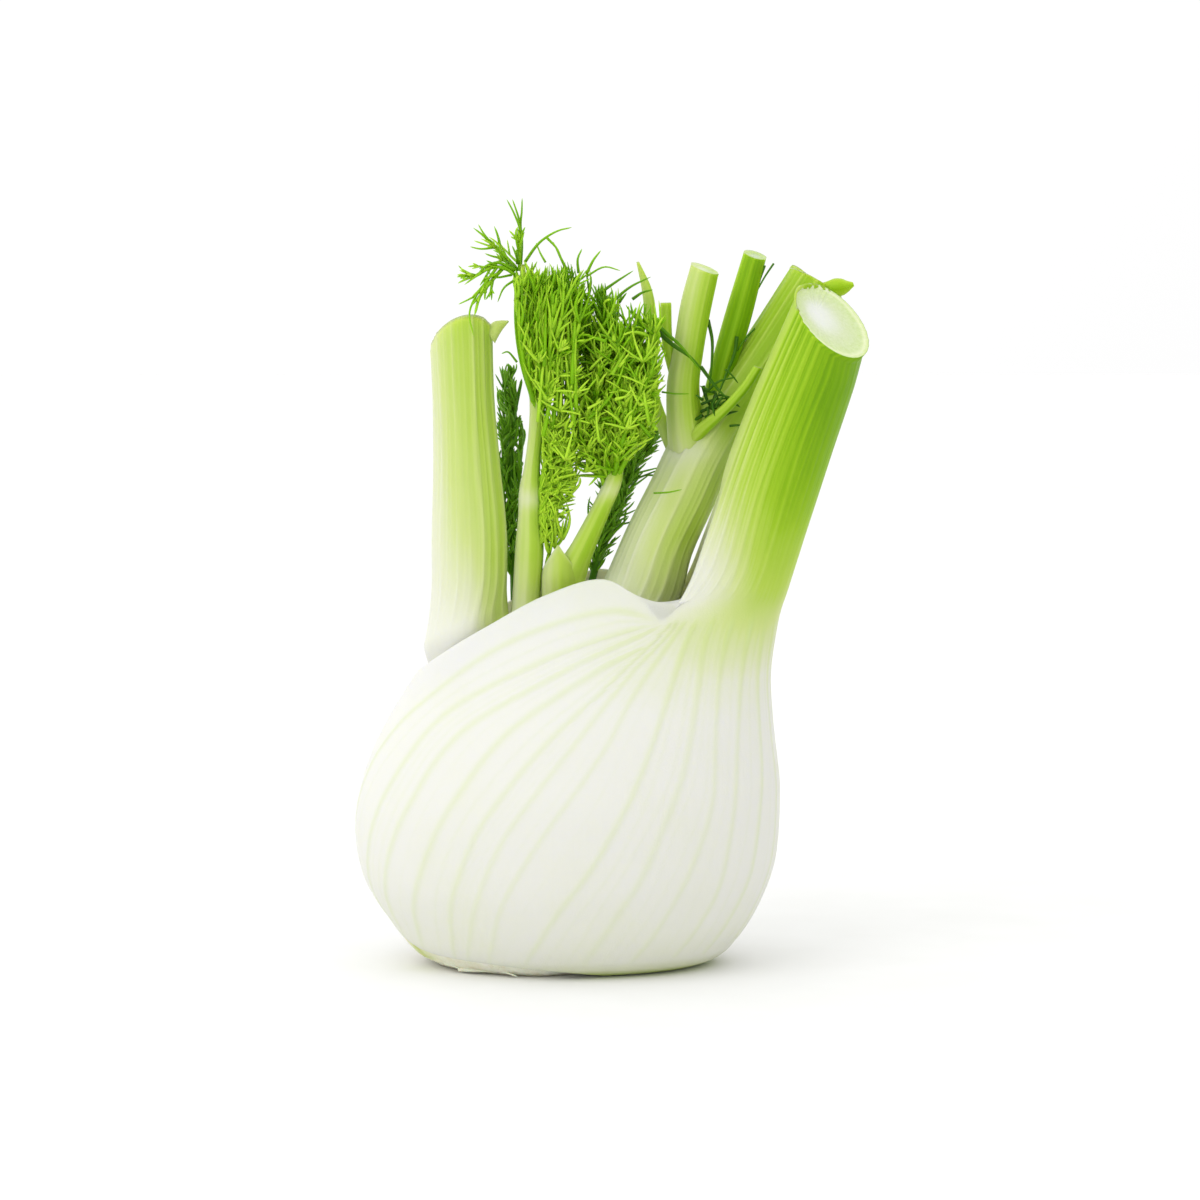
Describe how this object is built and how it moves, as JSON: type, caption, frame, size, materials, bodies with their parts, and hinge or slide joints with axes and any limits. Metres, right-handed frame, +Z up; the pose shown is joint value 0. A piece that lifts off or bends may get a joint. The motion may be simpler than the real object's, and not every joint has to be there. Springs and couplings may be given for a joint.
{
  "type": "fennel bulb",
  "caption": "Trimmed fennel bulb standing on its root plate, with clasping white leaf bases, ribbed green stalks cut short and feathery fronds.",
  "frame": {"origin": "centre of the flat underside of the root plate, on the surface that the bulb stands on", "axes": "+Z up along the bulb to its stalks, +X towards the thick stalk, -Y towards the front that the picture shows"},
  "size_m": [0.119, 0.0724, 0.1784],
  "materials": {
    "root": "dry trimmed root plate, cream to tan",
    "sheath": "waxy white flesh with pale green veins, turning green up the stalk",
    "stalk": "ribbed waxy stalk, white at its base and green above",
    "frond": "soft bright green threads",
    "frond_shade": "soft dark green threads"
  },
  "bodies": {
    "root": {"root_plate": "root", "outer_leaf": "sheath", "left_leaf": "stalk", "forked_leaf": "stalk", "left_frond": "frond", "centre_frond": "frond", "back_left_frond": "frond_shade", "back_right_frond": "frond_shade"}
  },
  "joints": []
}
